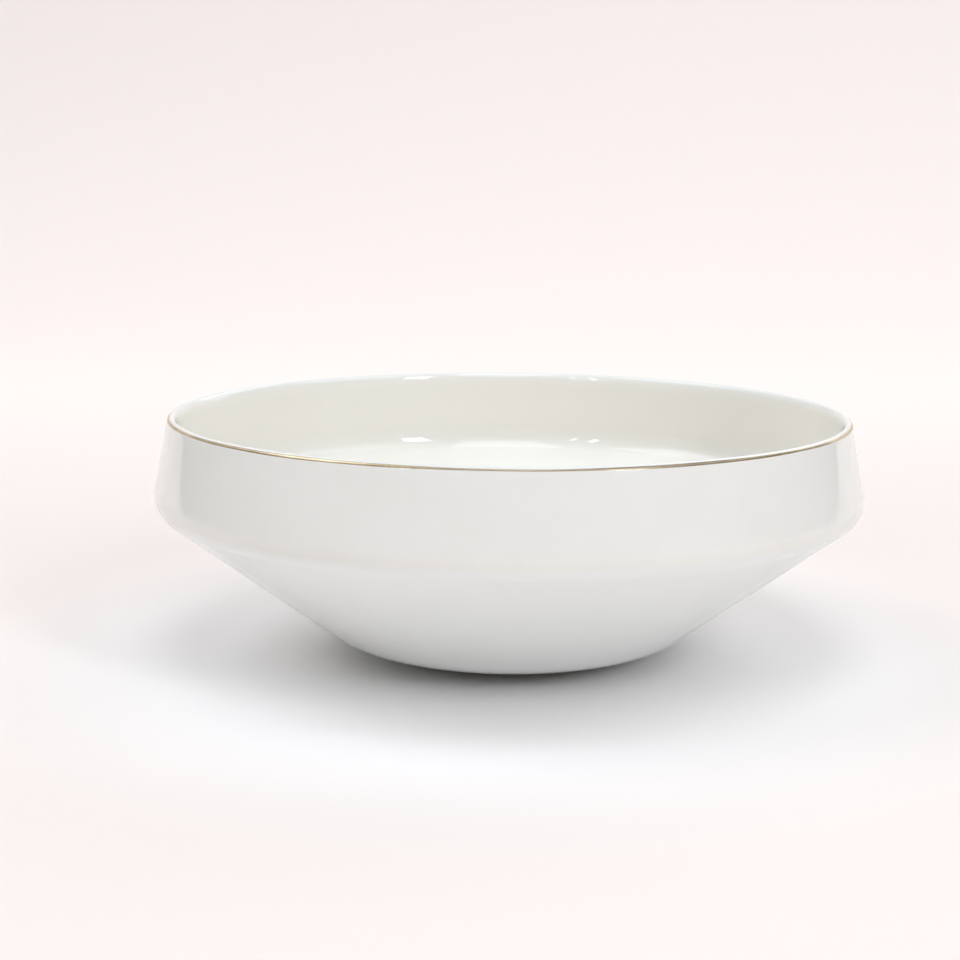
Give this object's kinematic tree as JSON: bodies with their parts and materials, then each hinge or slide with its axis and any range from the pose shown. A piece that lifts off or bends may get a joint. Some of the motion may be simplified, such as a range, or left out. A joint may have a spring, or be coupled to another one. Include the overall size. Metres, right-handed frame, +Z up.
{
  "type": "serving bowl",
  "caption": "Wide shallow porcelain serving bowl with an upright wall above a conical side, a low foot ring and a gold line round the lip.",
  "frame": {"origin": "centre of the foot ring, in the plane that the bowl stands on", "axes": "+Z up along the bowl's axis of revolution; +X and +Y are any two directions across it"},
  "size_m": [0.2604, 0.2604, 0.09],
  "materials": {
    "white_glaze": "clear glossy glaze on white porcelain",
    "dry_bisque": "unglazed, fired and rubbed smooth",
    "fired_gold": "bright fired gold"
  },
  "bodies": {
    "root": {"bowl_body": "white_glaze", "foot_ring": "dry_bisque", "gold_rim_line": "fired_gold"}
  },
  "joints": []
}
